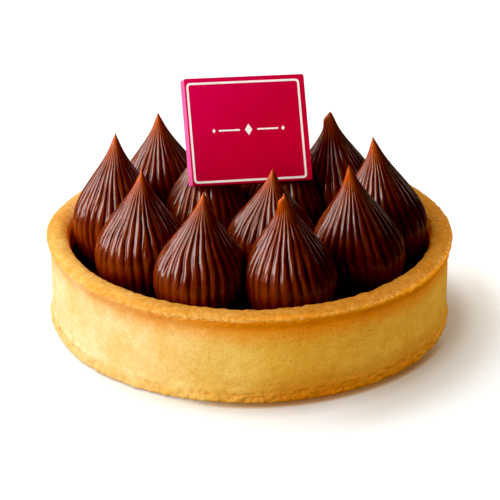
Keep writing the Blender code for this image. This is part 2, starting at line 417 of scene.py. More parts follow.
@dataclass(frozen=True)
class ShortcrustFinish:
    """Baked shortcrust: pale wall, browned lip, rim and foot, with fine pores, and painted light and shade: lighter
    on the left, darker on the right, under the lip, inside the rim and in recesses, with a painted highlight along
    the lip's edge.

    A span ending in _x goes by millimetres across, and one ending in _z by millimetres up.
    """

    effects: SharedEffects
    # pale, gold and baked run from left to right: uneven browning, with painted light on the left and painted shade
    # on the right
    pale: Colour = (0.90, 0.66, 0.33)
    gold: Colour = (0.84, 0.53, 0.100)
    baked: Colour = (0.80, 0.42, 0.046)
    # band under the lip: browning, with painted shade from the lip's overhang, weaker on the left
    band: Colour = (0.80, 0.24, 0.003)
    # lip and rim: browning, lighter on the left as painted light, darker on the right as painted shadow of the
    # swirls
    lip_left: Colour = (0.88, 0.39, 0.085)
    lip_right: Colour = (0.80, 0.305, 0.012)
    rim_left: Colour = (0.88, 0.50, 0.125)
    rim: Colour = (0.66, 0.315, 0.052)
    rim_right: Colour = (0.53, 0.215, 0.024)
    # pale crumbs and a painted highlight along the lip's edge, stronger on the left
    edge_crumb_highlight: Colour = (0.96, 0.60, 0.20)
    # red-brown painted shade, with bounce light, on the rim's inner side
    inner: Colour = (0.85, 0.170, 0.014)
    foot_left: Colour = (0.80, 0.40, 0.06)
    foot_right: Colour = (0.52, 0.162, 0.002)
    # darker colour of painted shade in pits, cracks and creases
    recess_shade: Colour = (0.70, 0.24, 0.012)
    pore: Colour = (0.72, 0.33, 0.03)
    mottles: tuple = (
        (7.0, (1.05, 1.08, 1.20), (0.97, 0.90, 0.72)),
        (1.8, (1.03, 1.05, 1.10), (0.98, 0.94, 0.82)),
        (0.45, (1.05, 1.06, 1.10), (0.95, 0.93, 0.86)),
    )
    rim_mottle: tuple = (1.1, (1.06, 1.11, 1.25), (0.96, 0.87, 0.62))
    rim_mottle_z: Span = (17.2, 18.0)
    drift_scale: float = 0.16
    drift_detail: float = 3.0
    drift: float = 2.2
    left_x: Span = (-36.0, 2.0)
    right_x: Span = (-6.0, 16.0)
    band_drop_x: Span = (-16.0, 2.0, -1.0, 0.0)
    band_z: Span = (11.0, 16.4)
    band_x: Span = (-36.0, -2.0, 0.45, 0.95)
    rim_left_x: Span = (-36.0, -12.0)
    edge_raise_x: Span = (4.0, 26.0, 0.0, 0.75)
    lip_z: Span = (17.5, 18.0)
    rim_z: Span = (18.3, 18.8)
    crumb_size: float = 0.7
    crumb_low_z: Span = (17.4, 17.8)
    crumb_high_z: Span = (17.9, 18.4, 1.0, 0.0)
    crumb_share: Span = (0.4, 0.65)
    crumb_x: Span = (-20.0, 14.0, 0.7, 0.30)
    foot_x: Span = (-14.0, 12.0)
    foot_z: Span = (1.4, 3.6, 1.0, 0.0)
    foot_left_share: Span = (0.0, 1.0, 0.5, 0.0)
    browned_z: Span = (0.8, 8.0, 1.0, 0.0)
    browned_power: float = 1.25
    browned_x: Span = (31.0, 40.0, 0.92, 0.45)
    recess_shade_share: float = 0.65
    grain: tuple[float, float] = (0.42, 0.26)
    pore_share: float = 0.5
    rough_rim_z: Span = (16.6, 17.6)
    rough_foot_z: Span = (2.0, 3.6, 1.0, 0.0)
    bump_share: Span = (0.0, 1.0, 0.45, 0.65)
    bump_x: Span = (-40.0, -5.0, 0.35, 1.0)
    bump_distance: float = 0.0003
    roughness: float = 0.75
    gloss: float = 0.06

    def build(self) -> Material:
        """Build the material.

        Returns:
            The material.
        """
        paint = Paint("baked_shortcrust", self.effects)
        parts = paint.add("SeparateXYZ", {0: paint.place}).outputs
        x, z = parts["X"], parts["Z"]
        drift = paint.math("SUBTRACT", paint.noise(paint.place, self.drift_scale, self.drift_detail), 0.5)
        level = paint.math("ADD", z, paint.times(drift, self.drift))
        # Paler on the left and browner on the right: uneven browning, with painted light on the left and painted
        # shade on the right.
        right = paint.rise(x, *self.right_x)
        base = paint.mix(right, paint.mix(paint.rise(x, *self.left_x), self.pale, self.gold), self.baked)
        # Darker band under the lip: browning, with painted shade from the lip's overhang, weaker on the left where
        # the light falls.
        lowered = paint.math("ADD", level, paint.rise(x, *self.band_drop_x))
        band = paint.times(paint.rise(lowered, *self.band_z), paint.rise(x, *self.band_x))
        base = paint.mix(band, base, self.band)
        # Lip and rim tones: browning, lighter on the left as painted light, darker on the right as painted shadow
        # of the swirls; the edge reaches lower on the right.
        rim_left = paint.rise(x, *self.rim_left_x)
        at_edge = paint.math("ADD", z, paint.rise(x, *self.edge_raise_x))
        lip = (self.lip_z, self.lip_left, self.lip_right)
        for span, far_left, far_right in (lip, (self.rim_z, self.rim_left, self.rim_right)):
            tone = paint.mix(right, paint.mix(rim_left, far_left, self.rim), far_right)
            base = paint.mix(paint.rise(at_edge, *span), base, tone)
        # Pale crumbs and a painted highlight along the lip's edge, stronger on the left.
        crumbs = paint.cloud(self.crumb_size, self.rim, self.rim).outputs["Share"]
        edge = paint.times(paint.rise(z, *self.crumb_low_z), paint.rise(z, *self.crumb_high_z))
        edge = paint.times(edge, paint.rise(crumbs, *self.crumb_share), paint.rise(x, *self.crumb_x))
        base = paint.mix(edge, base, self.edge_crumb_highlight)
        low = paint.rise(x, *self.foot_x)
        foot = paint.times(paint.rise(level, *self.foot_z), paint.rise(low, *self.foot_left_share))
        base = paint.mix(foot, base, self.foot_left)
        browned = paint.math("POWER", paint.rise(level, *self.browned_z), self.browned_power)
        deep = paint.times(low, paint.rise(x, *self.browned_x))
        base = paint.mix(paint.times(browned, deep), base, self.foot_right)
        shares = [1.0] * len(self.mottles) + [paint.rise(z, *self.rim_mottle_z)]
        for share, mottle in zip(shares, (*self.mottles, self.rim_mottle)):
            base = paint.mix(share, base, paint.cloud(*mottle).outputs["Tone"], "MULTIPLY")
        # Painted shade with red bounce light on the rim's inner side.
        base = paint.mix(paint.stored("inner"), base, self.inner)
        # Painted shade in the crumb's pits, cracks and creases.
        base = paint.mix(paint.times(paint.stored("recess_shade"), self.recess_shade_share), base, self.recess_shade)
        crumb = paint.math("MAXIMUM", paint.rise(z, *self.rough_rim_z), paint.rise(level, *self.rough_foot_z))
        strength = paint.times(paint.rise(crumb, *self.bump_share), paint.rise(x, *self.bump_x))
        normal, pores = paint.bumps(self.grain, strength, self.bump_distance)
        base = paint.mix(paint.times(pores, self.pore_share), base, self.pore)
        return paint.plain_finish(base, self.roughness, self.gloss, normal)


@dataclass(frozen=True)
class ChocolateFinish:
    """Piped chocolate: satin ridges, painted shade in the grooves and low on the front bellies, and thin tips
    painted orange-brown as light shining through.
    """

    effects: SharedEffects
    dark: Colour = (0.145, 0.0165, 0.0006)
    warm: Colour = (0.215, 0.0300, 0.0012)
    patch: float = 3.0
    # colour of painted shade, in the grooves and low on the front bellies
    groove: Colour = (0.030, 0.0012, 0.0)
    groove_shade_climb: Span = (0.05, 0.5, 0.35, 0.6)
    # painted shade low on the bellies of the front swirls
    belly_shade_climb: Span = (0.12, 0.45, 0.62, 0.0)
    belly_shade_y: Span = (-26.0, -12.0, 1.0, 0.0)
    # orange-brown painted at the thin tips as light shining through
    tip: Colour = (0.56, 0.092, 0.0010)
    tip_glow_climb: Span = (0.68, 1.0)
    tip_glow_power: float = 1.3
    sheen: Colour = (1.0, 0.88, 0.86)
    roughness: float = 0.19
    patch_roughness: float = 0.10
    gloss: float = 0.24
    coat_climb: Span = (0.66, 0.88, 0.54, 0.135)
    coat_roughness: float = 0.09
    scatter: float = 0.12
    scatter_radius: Colour = (1.0, 0.25, 0.08)
    scatter_scale: float = 0.0012
    grain: tuple[float, float] = (0.7, 0.05)
    bump: float = 0.07
    bump_distance: float = 0.0002

    def build(self) -> Material:
        """Build the material.

        Returns:
            The material.
        """
        paint = Paint("piped_chocolate", self.effects)
        tone = paint.cloud(self.patch, self.dark, self.warm).outputs
        climb = paint.stored("climb")
        # Painted shade in the grooves, weaker near the seat.
        grooves = paint.times(paint.stored("groove"), paint.rise(climb, *self.groove_shade_climb))
        base = paint.mix(grooves, tone["Tone"], self.groove)
        # Painted shade low on the bellies of the front swirls.
        y = paint.add("SeparateXYZ", {0: paint.place}).outputs["Y"]
        low = paint.times(paint.rise(climb, *self.belly_shade_climb), paint.rise(y, *self.belly_shade_y))
        base = paint.mix(low, base, self.groove)
        # Painted light: the thin tips turn orange-brown as if lit through.
        tip_glow = paint.math("POWER", paint.rise(climb, *self.tip_glow_climb), self.tip_glow_power)
        rough = paint.math("ADD", paint.times(tone["Share"], self.patch_roughness), self.roughness)
        return paint.finish({
            "Base Color": paint.mix(tip_glow, base, self.tip),
            "Roughness": rough,
            "Coat Weight": paint.rise(climb, *self.coat_climb),
            "Coat Roughness": self.coat_roughness,
            "Specular IOR Level": self.gloss,
            "Specular Tint": self.sheen,
            "Subsurface Weight": self.scatter,
            "Subsurface Radius": self.scatter_radius,
            "Subsurface Scale": self.scatter_scale,
            "Normal": paint.bumps(self.grain, self.bump, self.bump_distance)[0],
        })


@dataclass(frozen=True)
class SmoothFinish:
    """A smooth coloured coat with faint patches and fine grain."""

    effects: SharedEffects
    name: str
    first: Colour
    second: Colour
    patch: float
    roughness: float
    gloss: float
    bump: float
    patch_roughness: float = 0.06
    grain: tuple[float, float] = (0.35, 0.03)
    bump_distance: float = 0.0001

    def build(self) -> Material:
        """Build the material.

        Returns:
            The material.
        """
        paint = Paint(self.name, self.effects)
        tone = paint.cloud(self.patch, self.first, self.second).outputs
        rough = paint.math("ADD", paint.times(tone["Share"], self.patch_roughness), self.roughness)
        normal, _ = paint.bumps(self.grain, self.bump, self.bump_distance)
        return paint.plain_finish(tone["Tone"], rough, self.gloss, normal)


@dataclass(frozen=True)
class CrimsonFinish:
    """Glossy crimson, pinker towards its upper left, with a painted highlight in bright pink on its left side."""

    effects: SharedEffects
    low_right: Colour = (0.505, 0.0, 0.028)
    middle: Colour = (0.47, 0.0, 0.028)
    middle_slant: Span = (0.1, 0.5)
    high_left: Colour = (0.57, 0.0, 0.064)
    high_slant: Span = (0.4, 1.0)
    # colour of a painted highlight on the plaque's left side
    side: Colour = (0.90, 0.13, 0.40)
    mottle: tuple = (4.0, (1.04, 1.0, 1.06), (0.97, 1.0, 0.94))
    roughness: float = 0.3
    gloss: float = 0.12
    grain: tuple[float, float] = (0.35, 0.03)
    bump: float = 0.06
    bump_distance: float = 0.0001

    def build(self) -> Material:
        """Build the material.

        Returns:
            The material.
        """
        paint = Paint("crimson_plaque", self.effects)
        slant = paint.stored("slant")
        base = paint.mix(paint.rise(slant, *self.middle_slant), self.low_right, self.middle)
        base = paint.mix(paint.rise(slant, *self.high_slant), base, self.high_left)
        # Painted highlight: the left side bright pink, where it faces the lamp.
        base = paint.mix(paint.stored("edge"), base, self.side)
        base = paint.mix(1.0, base, paint.cloud(*self.mottle).outputs["Tone"], "MULTIPLY")
        normal, _ = paint.bumps(self.grain, self.bump, self.bump_distance)
        return paint.plain_finish(base, self.roughness, self.gloss, normal)


@dataclass(frozen=True)
class Crease:
    """A short upright wrinkle in the baked wall."""

    angle: float
    level: float
    length: float
    depth: float


@dataclass
class Shell:
    """The baked shortcrust shell."""

    foot_radius: float = 40.1
    wall_radius: float = 39.7
    wall_level: float = 3.6
    lip_radius: float = 40.5
    height: float = 19.0
    inner_radius: float = 36.0
    inner_shown: float = 12.0
    floor: float = 4.0
    cap_radius: float = 1.0
    lip_level: float = 18.15
    lip_start: float = 15.2
    crown_radius: float = 38.3
    rim_edge_radius: float = 36.4
    rim_edge_level: float = 18.0
    foot_rounding: float = 0.85
    segments: int = 730
    arc_points: int = 25
    swell_points: int = 13
    wall_waves: tuple = ((2, 0.06, -0.4), (4, 0.07, 3.3), (10, 0.05, 1.2))
    wave_radii: Span = (37.8, 39.7)
    wave_levels: Span = (0.0, 0.6)
    rim_waves: tuple = ((3, 0.08, 1.0), (7, 0.07, 0.3), (13, 0.05, 2.6))
    rim_sags: tuple = ((150.0, 1.15, 26.0), (44.0, 0.95, 30.0), (105.0, 0.5, 25.0))
    lip_droop: tuple = (-30.0, 0.85, 34.0)
    droop_radii: Span = (37.9, 40.4)
    creases: tuple = (
        Crease(232.0, 14.4, 2.2, 0.16),
        Crease(318.0, 9.0, 3.0, 0.08),
        Crease(40.0, 12.0, 2.6, 0.12),
        Crease(121.0, 8.0, 3.4, 0.10),
    )
    crease_width: float = 0.35
    crease_bend: float = 0.25
    crease_bends: float = 2.1
    relief: Unevenness = field(default_factory=lambda: Unevenness(11))
    plain: Layers = ((0.07, 0.0, 9.0), (0.03, 40.0, 3.1), (0.030, 7.0, 0.9))
    rim_levels: Span = (16.4, 17.2)
    rim_crumb: Layers = ((0.07, 13.0, 1.5), (0.085, 19.0, 0.8))
    rim_pits: Patches = (-0.10, 23.0, 1.1, 0.40, 0.75)
    crumb_levels: Span = (0.0, 0.5)
    crumb_radii: Span = (35.0, 35.9)
    inner_hidden: float = 13.0
    crumb_side: float = -45.0
    crumb_mean: float = 0.85
    crumb_swing: float = 0.75
    foot_levels: Span = (-3.2, -1.7)
    foot_crumb: Layers = ((0.16, 29.0, 1.5), (0.20, 31.0, 0.75))
    foot_pits: Patches = (-0.12, 37.0, 0.9, 0.35, 0.7)
    seam_radius: float = 40.0
    seam_level: float = 2.2
    seam_depth: float = 0.26
    seam_width: float = 0.17
    seam_waves: Layers = ((0.40, 0.0, 7.0), (0.15, 50.0, 1.6))
    seam_least: float = 0.15
    seam_parts: Patches = (0.85, 60.0, 1.8, -0.2, 0.6)
    recess_shade_depths: Span = (0.08, 0.30)
    inner_levels: Span = (-18.45, -17.9)
    inner_radii: Span = (-36.8, -36.5)
    inner_edge: Layers = ((0.5, 71.0, 1.2),)

    @staticmethod
    def _stretch(points: Path, spacing: float) -> Array:
        """Points along a line at even steps, without its last point.

        Args:
            points: the line's corners as (radius, height).
            spacing: about how far apart the points are.

        Returns:
            The points.
        """
        corners = np.array(points)
        lengths = np.hypot(*np.diff(corners, axis=0).T)
        along = np.concatenate([[0.0], np.cumsum(lengths)])
        steps = max(1, round(along[-1] / spacing))
        wanted = np.linspace(0.0, along[-1], steps + 1)[:-1]
        return np.stack([np.interp(wanted, along, corners[:, axis]) for axis in (0, 1)], axis=1)

    def _arc(self, centre: Sequence[float], radii: Sequence[float], start: float, end: float) -> Path:
        """Points of an ellipse from one angle in degrees to another."""
        turns = np.radians(np.linspace(start, end, self.arc_points))
        return [(centre[0] + radii[0] * math.cos(t), centre[1] + radii[1] * math.sin(t)) for t in turns]

    def outline(self) -> Array:
        """The shell's outline from the middle of the underside round to the floor.

        Returns:
            Points as (radius, height).
        """
        foot_centre = (self.foot_radius - self.foot_rounding, self.foot_rounding)
        swell = np.linspace(0.0, 1.0, self.swell_points)
        out = self.wall_radius + (self.lip_radius - self.wall_radius) * smooth_step(swell, 0.0, 1.0)
        lip = list(zip(out, self.lip_start + (self.lip_level - self.lip_start) * swell))
        crown = (self.lip_radius - self.crown_radius, self.height - self.lip_level)
        inward = (self.crown_radius - self.rim_edge_radius, self.height - self.rim_edge_level)
        inner_start = (self.inner_radius, self.rim_edge_level - 1.0)
        stretches = [  # each with the spacing of its points
            ([(self.cap_radius, 0.0), (foot_centre[0], 0.0)], 9.0),
            (self._arc(foot_centre, (self.foot_rounding,) * 2, -90.0, 0.0), 0.16),
            ([(self.foot_radius, self.foot_rounding), (self.wall_radius, self.wall_level)], 0.17),
            ([(self.wall_radius, self.wall_level), (self.wall_radius, self.lip_start)], 0.30),
            (lip, 0.20),
            (self._arc((self.crown_radius, self.lip_level), crown, 0.0, 90.0), 0.19),
            (self._arc((self.crown_radius, self.rim_edge_level), inward, 90.0, 180.0), 0.17),
            ([(self.rim_edge_radius, self.rim_edge_level), inner_start], 0.17),
            ([inner_start, (self.inner_radius, self.inner_shown)], 0.40),
            ([(self.inner_radius, self.inner_shown), (self.inner_radius, self.floor)], 4.0),
            ([(self.inner_radius, self.floor), (self.cap_radius, self.floor)], 9.0),
        ]
        return np.vstack([self._stretch(points, spacing) for points, spacing in stretches])

    @staticmethod
    def _waves(waves: tuple, turn: Array) -> Array:
        """Add up slow waves round the shell."""
        return sum(size * np.sin(count * turn + phase) for count, size, phase in waves)

    def _relief(self, points: Array, turn: Array, levels: Array) -> Array:
        """Height of the crumb over the plain outline.

        Args:
            points: places on the plain outline.
            turn: angle of each place.
            levels: height of each place on the plain outline.

        Returns:
            How far each place moves outwards.
        """
        layers, patches = self.relief.layers, self.relief.patches
        crumb = layers(points, self.rim_crumb) + patches(points, self.rim_pits)
        uneven = self.crumb_mean + self.crumb_swing * np.cos(turn - math.radians(self.crumb_side))
        rough = layers(points, self.foot_crumb) + patches(points, self.foot_pits)
        around = round_places(self.seam_radius, turn, 0.0)
        seam_at = self.seam_level + layers(around, self.seam_waves)
        seam = self.seam_depth * (self.seam_least + patches(around, self.seam_parts))
        relief = layers(points, self.plain) + smooth_step(levels, *self.rim_levels) * uneven * crumb
        relief = relief + smooth_step(-levels, *self.foot_levels) * rough
        relief = relief - seam * hill(levels - seam_at, self.seam_width)
        for crease in self.creases:
            bend = self.crease_bend * np.sin(levels * self.crease_bends)
            across = np.radians(degrees_from(crease.angle, turn)) * self.wall_radius + bend
            up = (levels - crease.level) / (crease.length / 2.0)
            relief = relief - crease.depth * hill(across, self.crease_width) * np.exp(-(up**4))
        return relief

    def build(self, finish: Material) -> Object:
        """Make the shell.

        Args:
            finish: its material.

        Returns:
            The shell.
        """
        outline = self.outline()
        closed = np.vstack([outline[:1], outline, outline[-1:]])
        tangent = closed[2:] - closed[:-2]
        normal = np.stack([tangent[:, 1], -tangent[:, 0]], axis=1)
        normal = normal / np.linalg.norm(normal, axis=1, keepdims=True)
        turn = full_turns(len(outline), self.segments)
        radius = np.tile(outline[:, :1], (1, self.segments))
        level = np.tile(outline[:, 1:], (1, self.segments))
        outside = smooth_step(radius, *self.wave_radii) * smooth_step(level, *self.wave_levels)
        reach = radius + self._waves(self.wall_waves, turn) * outside
        dip = (sum(wave[1] for wave in self.rim_waves) + self._waves(self.rim_waves, turn)) / 2.0
        for angle, depth, spread in self.rim_sags:
            dip = dip + depth * hill(np.degrees(turn) - angle, spread)
        angle, depth, spread = self.lip_droop
        at_lip = smooth_step(radius, *self.droop_radii)
        dip = dip + depth * hill(degrees_from(angle, turn), spread) * at_lip
        top = level - dip * smooth_step(level, self.lip_start, self.lip_level)
        plain = round_places(reach, turn, top)
        shown = smooth_step(level, *self.crumb_levels) * smooth_step(radius, *self.crumb_radii)
        hidden = (radius < self.rim_edge_radius - 0.2) & (level < self.inner_hidden)
        relief = np.where(hidden, 0.0, self._relief(plain, turn, level) * shown)
        reach = reach + relief * normal[:, :1]
        top = np.maximum(top + relief * normal[:, 1:], 0.0)
        rings = round_places(reach, turn, top)
        mesh = mesh_from_rings("shortcrust_shell", rings, (0.0, 0.0, 0.0), (0.0, 0.0, self.floor))
        # How deep each place lies in a pit, crack or crease, for the painted shade there.
        add_values(mesh, "recess_shade", smooth_step(-relief, *self.recess_shade_depths), (0.0, 0.0))
        # Where the rim's inner side starts, with a ragged edge, for its painted shade.
        ragged = level + self.relief.layers(plain, self.inner_edge)
        inner = smooth_step(-ragged, *self.inner_levels) * smooth_step(-radius, *self.inner_radii)
        add_values(mesh, "inner", inner, (0.0, 1.0))
        return add_piece("baked_shell", mesh, finish, ["shortcrust_shell"])


@dataclass
class Filling:
    """The dark filling that the swirls stand on."""

    radius: float = 35.9
    low: float = 4.2
    top: float = 12.6
    segments: int = 192
    rings: int = 48
    rounding: float = 0.5
    relief: Unevenness = field(default_factory=lambda: Unevenness(31))
    bumps: Layers = ((0.12, 0.0, 4.0), (0.05, 9.0, 1.5))

    def build(self, finish: Material) -> Object:
        """Make the filling with a gently uneven top.

        Args:
            finish: its material.

        Returns:
            The filling.
        """
        quarter = np.radians([0.0, 45.0, 90.0])
        edge = self.radius - self.rounding * (1.0 - np.cos(quarter))
        rise = self.top - self.rounding * (1.0 - np.sin(quarter))
        inner = np.linspace(self.radius - self.rounding, 1.0, self.rings)[1:]
        radii = np.concatenate([[self.radius], edge, inner])[:, None]
        levels = np.concatenate([[self.low], rise, np.full(len(inner), self.top)])[:, None]
        rings = round_places(radii, full_turns(len(radii), self.segments), 0.0)
        bumps = self.relief.layers(rings, self.bumps)
        rings[..., 2] = levels + np.where(levels > self.top - 0.01, bumps, 0.0)
        mesh = mesh_from_rings("filling", rings, (0.0, 0.0, self.low), (0.0, 0.0, self.top))
        return add_piece("dark_filling", mesh, finish, ["filling"])


@dataclass
class Plaque:
    """The square plaque with its thin line and a small ornament."""

    width: float = 25.1
    height: float = 21.4
    thickness: float = 2.6
    rounding: float = 0.16
    rounding_steps: int = 5
    corner: float = 0.42
    corner_inset: float = 0.9
    side_rows: int = 3
    corner_steps: int = 8
    sharp_angle: float = math.radians(40.0)
    foot: Triple = (0.74, 0.59, 27.79)
    yaw: float = math.radians(19.6)
    lean: float = math.radians(29.5)
    roll: float = math.radians(-4.8)
    line_margins: tuple[float, float, float, float] = (0.42, 1.15, 0.42, 0.92)
    line_width: float = 0.42
    line_corner: float = 0.75
    line_corner_inset: float = 0.6
    lozenge: Triple = (0.0, 0.75, 1.15)
    bar: Triple = (4.0, 2.2, 0.16)
    end_lozenge: Triple = (7.2, 0.35, 0.45)
    proud: float = 0.05

    def matrix(self) -> Matrix:
        """Place of the plaque in millimetres: X across, Y up its face, Z out of its front."""
        flat = Vector((math.cos(self.yaw), math.sin(self.yaw), 0.0))
        facing = Vector((math.sin(self.yaw), -math.cos(self.yaw), 0.0))
        upward = Vector((0.0, 0.0, math.cos(self.lean))) - facing * math.sin(self.lean)
        across = flat * math.cos(self.roll) + upward * math.sin(self.roll)
        up = upward * math.cos(self.roll) - flat * math.sin(self.roll)
        turned = Matrix((across, up, across.cross(up))).transposed().to_4x4()
        return Matrix.Translation(Vector(self.foot)) @ turned

    def _rounded_loop(self, half_width: float, half_height: float, corner: float) -> Path:
        """A rectangle with round corners about the middle of the face.

        Args:
            half_width: half its width.
            half_height: half its height.
            corner: radius of its corners.

        Returns:
            Points round it.
        """
        points = []
        for quarter, (sx, sy) in enumerate(((1, 1), (-1, 1), (-1, -1), (1, -1))):
            for step in range(self.corner_steps + 1):
                turn = math.radians(90.0 * quarter + 90.0 * step / self.corner_steps)
                x = sx * (half_width - corner) + corner * math.cos(turn)
                y = sy * (half_height - corner) + corner * math.sin(turn)
                points.append((x, y + self.height / 2))
        return points

    @staticmethod
    def _skin(loops: Sequence[Sequence[Triple]], hollow: bool = False) -> Figure:
        """Close a stack of loops into a solid skin.

        Args:
            loops: loops with the same number of points.
            hollow: whether the last loop meets the first, and not a face at each end.

        Returns:
            Its points and faces.
        """
        count = len(loops[0])
        total = len(loops) * count
        faces = []
        for row in range(0, total if hollow else total - count, count):
            above = (row + count) % total
            for i in range(count):
                j = (i + 1) % count
                faces.append((row + i, row + j, above + j, above + i))
        if not hollow:
            faces += [tuple(reversed(range(count))), tuple(range(total - count, total))]
        return [point for loop in loops for point in loop], faces

    def _raised(self, loop: Path) -> list[list[Triple]]:
        """A loop just under the face and again just over it."""
        return [[(x, y, z) for x, y in loop] for z in (-self.proud, self.proud)]

    def _mesh(self, name: str, figures: Sequence[Figure]) -> Mesh:
        """Join figures into one mesh in its place.

        Args:
            name: name of the mesh.
            figures: points and faces of each.

        Returns:
            The mesh.
        """
        points: list = []
        faces: list = []
        for some_points, some_faces in figures:
            start = len(points)
            points += some_points
            faces += [tuple(start + index for index in face) for face in some_faces]
        place = Matrix.Scale(MM, 4) @ self.matrix()
        mesh = bpy.data.meshes.new(name)
        mesh.from_pydata([place @ Vector(point) for point in points], [], faces)
        mesh.update()
        return mesh

    def _block(self) -> Mesh:
        """The plaque's body: a block with all edges rounded.

        Returns:
            The mesh.
        """
        half = (self.width / 2, self.height / 2, self.thickness / 2)
        turns = [math.radians(90.0 * step / self.rounding_steps) for step in range(self.rounding_steps + 1)]
        rings = []
        for sign in (-1, 1):
            for turn in turns if sign > 0 else reversed(turns):
                inset = self.rounding * (1.0 - math.cos(turn))
                level = sign * (half[2] - self.rounding * (1.0 - math.sin(turn)))
                corner = self.corner - inset * self.corner_inset
                loop = self._rounded_loop(half[0] - inset, half[1] - inset, corner)
                rings.append([(x, y, level - half[2]) for x, y in loop])
        points, faces = self._skin(rings)
        mesh = self._mesh("plaque", [(points, faces)])
        across, up, _ = np.array(points).T
        row = np.repeat(np.arange(len(rings)), len(rings[0]))
        # The left side's faces, which carry the painted highlight.
        beside = (row >= self.side_rows) & (row < len(rings) - self.side_rows)
        beside = beside & (across < self.rounding - half[0])
        add_values(mesh, "slant", (up / self.height + 0.5 - across / self.width) / 2.0, ())
        add_values(mesh, "edge", beside.astype(float), ())
        mesh.shade_smooth()
        mesh.set_sharp_from_angle(angle=self.sharp_angle)
        return mesh

    def _mark(self, signs: Sequence[tuple], x: float, half_width: float, half_height: float) -> Figure:
        """A filled figure on the face, level with its middle, with a corner for each pair of signs."""
        loop = [(x + a * half_width, self.height / 2 + b * half_height) for a, b in signs]
        return self._skin(self._raised(loop))

    def _line(self) -> Figure:
        """The white line, which stands nearer to the left and lower edges."""
        left, right, low, high = self.line_margins
        middle = ((left - right) / 2, (low - high) / 2)
        half = ((self.width - left - right) / 2, (self.height - low - high) / 2)
        loops = []
        for inset in (0.0, self.line_width):
            corner = self.line_corner - inset * self.line_corner_inset
            loop = self._rounded_loop(half[0] - inset, half[1] - inset, corner)
            loops.append(self._raised([(x + middle[0], y + middle[1]) for x, y in loop]))
        outer, inner = loops
        return self._skin([*outer, *reversed(inner)], hollow=True)

    def build(self, body: Material, print_finish: Material) -> list[Object]:
        """Make the plaque, its line and its ornament.

        Args:
            body: material of the plaque.
            print_finish: material of the line and the ornament.

        Returns:
            The three pieces.
        """
        pointed = ((1, 0), (0, 1), (-1, 0), (0, -1))
        square = ((1, -1), (1, 1), (-1, 1), (-1, -1))
        figures = [self._mark(pointed, *self.lozenge)]
        for side in (-1, 1):
            for signs, (x, *size) in ((square, self.bar), (pointed, self.end_lozenge)):
                figures.append(self._mark(signs, side * x, *size))
        pieces = [add_piece("plaque_body", self._block(), body, ["plaque"])]
        for name, parts in (("plaque_line", [self._line()]), ("plaque_ornament", figures)):
            pieces.append(add_piece(name, self._mesh(name, parts), print_finish, []))
        return pieces

    def press(self, points: Array, gap: float) -> Array:
        """Move points that lie in the plaque to its back or under its foot.

        Args:
            points: places in millimetres.
            gap: how far clear of the plaque they end.

        Returns:
            The moved places.
        """
        place = np.array(self.matrix())
        local = (points - place[:3, 3]) @ place[:3, :3]
        across, up, out = local[..., 0], local[..., 1], local[..., 2]
        behind = out + self.thickness + gap
        under = up + gap
        inside = (np.abs(across) < self.width / 2 + gap) & (up < self.height + gap) & (out < gap)
        inside = inside & (under > 0.0) & (behind > 0.0)
        back = inside & (behind <= under)
        down = inside & (behind > under)
        local[..., 2] = np.where(back, -self.thickness - gap, out)
        local[..., 1] = np.where(down, -gap, up)
        return local @ place[:3, :3].T + place[:3, 3]


@dataclass(frozen=True)
class Curl:
    """A small fold of chocolate beside a swirl's tip."""

    angle: float
    climb: float
    reach: float
    spread: float = 0.9
    above: float = 0.020
    below: float = 0.070


@dataclass(frozen=True)
class Swirl:
    """One piped swirl: where it stands, its belly, its tip and how the tip leans."""

    name: str
    x: float
    y: float
    radius: float
    tip: float
    lean_x: float
    lean_y: float
    hook_x: float = 0.0
    blunt: float = 0.22
    curls: tuple[Curl, ...] = ()


